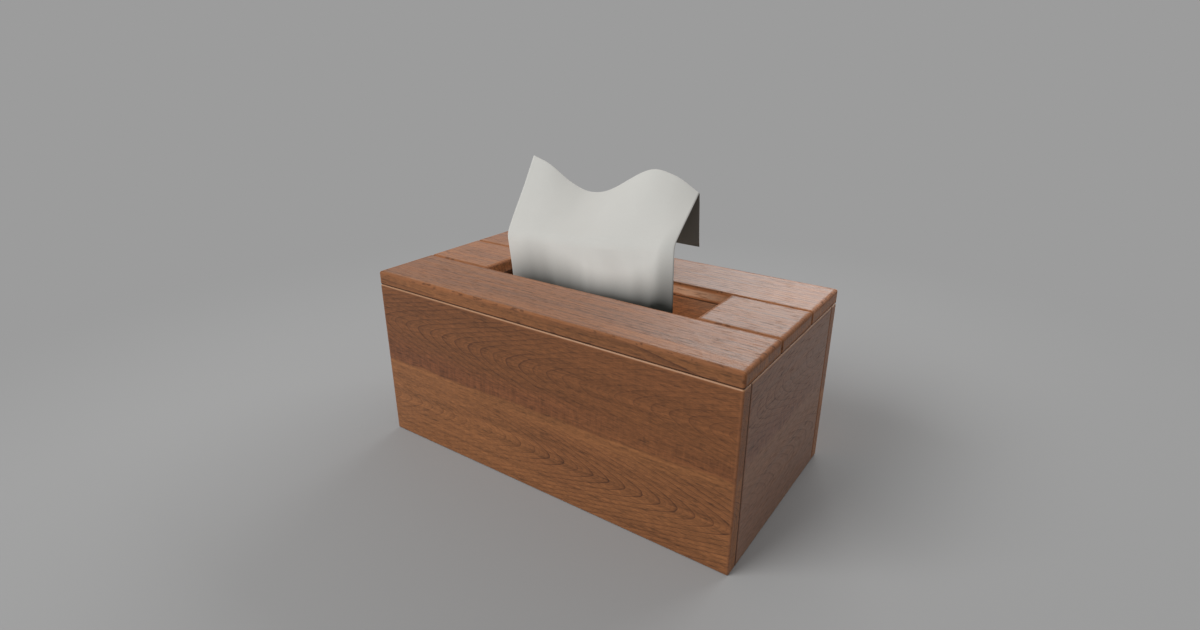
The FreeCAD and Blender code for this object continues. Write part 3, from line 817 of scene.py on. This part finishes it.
sheet_form = bmesh.new()
bmesh.ops.create_grid(sheet_form, x_segments=ACROSS, y_segments=ALONG, size=1.0)
columns, flat_places = {}, []
for vert in sheet_form.verts:
    across, share = round(vert.co.x, 6), (vert.co.y + 1) / 2
    flat_places.append((across, share))
    if across not in columns:
        columns[across] = tissue_poles(across)
    vert.co = on_line(columns[across], share)
    if vert.co.z > UNEVEN_FROM:
        vert.co.y += noise.noise(vert.co * UNEVEN_WAVES + UNEVEN_PLACE) * UNEVEN
for face in sheet_form.faces:
    face.smooth = True
bmesh.ops.recalc_face_normals(sheet_form, faces=sheet_form.faces)
sheet_form.normal_update()

outer_layer = sheet_form.verts.layers.float.new("outer_shade")
fold_layer = sheet_form.verts.layers.float.new("fold_shade")
lean_layer = sheet_form.verts.layers.float.new("lean")
for vert, (across, share) in zip(sheet_form.verts, flat_places):
    upward = vert.normal.z
    vert[outer_layer] = outer_shade(across, vert.co.z, upward) if share < FLAP_FROM else 0.0
    vert[fold_layer] = fold_shade(vert.co.z)
    vert[lean_layer] = min(abs(upward) / STEEPEST_LEAN, 1.0)
standing_tissue = piece_from(sheet_form, "standing_tissue")
print("standing tissue:", len(standing_tissue.data.polygons), "faces")

# %% [markdown]
# ## Tissue paper
# Soft unglazed paper: matt, warm white, with faint fibres and clouds. One group serves the sheet's
# outer side, its inner side and the pack.

# %% Paper group
CLOUDY_WAVES, CLOUDY_SHARE = (60, 60, 60), 0.05
FIBRE_WAVES, FIBRE_SHARE = (900, 900, 1500), 0.04

paper, given, result = new_group(
    "tissue_paper", [("Vector", "Vector"), ("Clean", "Color"), ("Shaded", "Color"), ("Shade", "Float")],
    [("Color", "Color"), ("Height", "Float")])
cloudy = noise_of(paper, given["Vector"], CLOUDY_WAVES, detail=3.0)
fibres = noise_of(paper, given["Vector"], FIBRE_WAVES, detail=3.0, distortion=0.5)
tint = mixed(paper, given["Shade"], given["Clean"], given["Shaded"])
level = calc(paper, "MULTIPLY_ADD", swing(paper, cloudy), CLOUDY_SHARE, 1.0)
level = calc(paper, "MULTIPLY_ADD", swing(paper, fibres), FIBRE_SHARE, level)
paper.links.new(scaled(paper, tint, level), result["Color"])
paper.links.new(calc(paper, "MULTIPLY_ADD", cloudy, 0.5, fibres), result["Height"])
print("paper group:", len(paper.nodes), "nodes")

# %% [markdown]
# ### Three papers
# The sheet's outer side reads the outer shade, its inner side the fold's, and the pack has none. A
# Solidify modifier gives the sheet its thickness and puts the inner paper on the side that looks
# into the fold. The photograph shows no mirror image of the tissue in the oiled slat in front of
# it, so glossy rays pass the tissue by.

# %% Paper finishes
PAPER_CLEAN = srgb(234, 232, 226)
PAPER_UPRIGHT = srgb(230, 232, 228)
SLOT_DARK = srgb(42, 44, 41)
FOLD_DARK = srgb(126, 123, 117)
PAPER_RELIEF = 0.1 * MM
PAPER = 0.3 * MM


def paper_finish(name, shaded, attribute, leaning=False):
    """Tissue paper that darkens where the mesh's attribute says, if one is named. With leaning,
    the upright part is a little cooler, which evens out the wood's warm light on it."""
    sheet_material, tree, shader = new_material(name)
    local = put(tree, "ShaderNodeTexCoord", {}, output="Object")
    shade, clean = 0.0, PAPER_CLEAN
    if attribute:
        shade = put(tree, "ShaderNodeAttribute", {}, output="Fac", attribute_name=attribute)
    if leaning:
        lean = put(tree, "ShaderNodeAttribute", {}, output="Fac", attribute_name="lean")
        clean = mixed(tree, lean, PAPER_UPRIGHT, PAPER_CLEAN)
    soft = place_group(tree, paper, {
        "Vector": local, "Clean": clean, "Shaded": shaded, "Shade": shade})
    relief = put(tree, "ShaderNodeBump",
                 {"Height": soft["Height"], "Strength": 0.2, "Distance": PAPER_RELIEF})
    tree.links.new(soft["Color"], shader.inputs["Base Color"])
    tree.links.new(relief, shader.inputs["Normal"])
    shader.inputs["Roughness"].default_value = 0.95
    shader.inputs["Specular IOR Level"].default_value = 0.15
    return sheet_material


outer_paper = paper_finish("outer_paper", SLOT_DARK, "outer_shade", leaning=True)
inner_paper = paper_finish("inner_paper", FOLD_DARK, "fold_shade")
pack_paper = paper_finish("pack_paper", PAPER_CLEAN, None)

standing_tissue.data.materials.append(outer_paper)
standing_tissue.data.materials.append(inner_paper)
thickness = standing_tissue.modifiers.new("paper", "SOLIDIFY")
thickness.thickness = PAPER
thickness.offset = 0.0
thickness.material_offset = 1
standing_tissue.visible_glossy = False
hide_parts("pulled_tissue")
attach(standing_tissue, "root")
print("paper thickness in millimetres:", round(PAPER / MM, 2))

# %% [markdown]
# ## The folded pack
# About 150 tissues, folded in half and laid into each other, so that the long sides show soft
# rounded folds and the ends show cut edges. Each layer here stands for two or three of them: a
# thin slab from a cube, with its long sides rounded by a bevel and its place a little off, as
# paper lies.

# %% The pack's layers
LAYERS = 52
PLAY_ALONG, PLAY_ASIDE = 1.2 * MM, 1.6 * MM
LAYER_FILL = 0.97
SLIP_ALONG, SLIP_ASIDE = 0.5, 0.7
SKEW = 0.0025
FOLD_ROUND = 0.42

random.seed(7)
pack_form = bmesh.new()
pack_size = pack_high - pack_low
pack_middle = (pack_low + pack_high) / 2
layer_height = pack_size.z / LAYERS
slab_size = Matrix.Diagonal((pack_size.x - PLAY_ALONG, pack_size.y - PLAY_ASIDE,
                             layer_height * LAYER_FILL, 1.0))
for number in range(LAYERS):
    spot = Vector((pack_middle.x + random.uniform(-SLIP_ALONG, SLIP_ALONG) * MM,
                   pack_middle.y + random.uniform(-SLIP_ASIDE, SLIP_ASIDE) * MM,
                   pack_low.z + layer_height * (number + 0.5)))
    skew = Matrix.Rotation(random.uniform(-SKEW, SKEW), 4, "Z")
    slab = bmesh.ops.create_cube(pack_form, size=1.0,
                                 matrix=Matrix.Translation(spot) @ skew @ slab_size)
    folds = {edge for vert in slab["verts"] for edge in vert.link_edges
             if abs(edge.verts[0].co.x - edge.verts[1].co.x) > pack_size.x / 2}
    bmesh.ops.bevel(pack_form, geom=list(folds), offset=layer_height * FOLD_ROUND, segments=3,
                    profile=0.5, affect="EDGES", material=-1)
bmesh.ops.recalc_face_normals(pack_form, faces=pack_form.faces)
folded_tissues = piece_from(pack_form, "folded_tissues")
folded_tissues.data.materials.append(pack_paper)
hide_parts("tissue_pack")
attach(folded_tissues, "root")
print("pack:", LAYERS, "layers,", len(folded_tissues.data.polygons), "faces")

# %% [markdown]
# In the slot it is drawn together to about three fifths of its width, so it covers less than its
# flat size.

# %% Sheet
print("drawn together to millimetres:",
      round((edge_to_edge("slot", 1) - edge_to_edge("slot", -1)) / MM, 1))

# %% [markdown]
# ## Screws
# Twelve zinc plated countersunk screws hold the slats and blocks to the cleats. They keep the form
# of the construction model, and only need a drawn steel surface.

# %% Screw finish
ZINC_DULL, ZINC_BRIGHT = srgb(168, 170, 172), srgb(202, 203, 205)
DRAWN_WAVES = (900, 900, 300)

zinc, tree, shader = new_material("screw_zinc")
shader.inputs["Metallic"].default_value = 1.0
local = put(tree, "ShaderNodeTexCoord", {}, output="Object")
dull = noise_of(tree, local, DRAWN_WAVES, detail=3.0)
tree.links.new(mixed(tree, dull, ZINC_DULL, ZINC_BRIGHT), shader.inputs["Base Color"])
tree.links.new(calc(tree, "MULTIPLY_ADD", dull, 0.3, 0.2), shader.inputs["Roughness"])
screws = solids["lid_screws"]
screws.data.materials.clear()
screws.data.materials.append(zinc)
print("screw finish:", len(tree.nodes), "nodes")
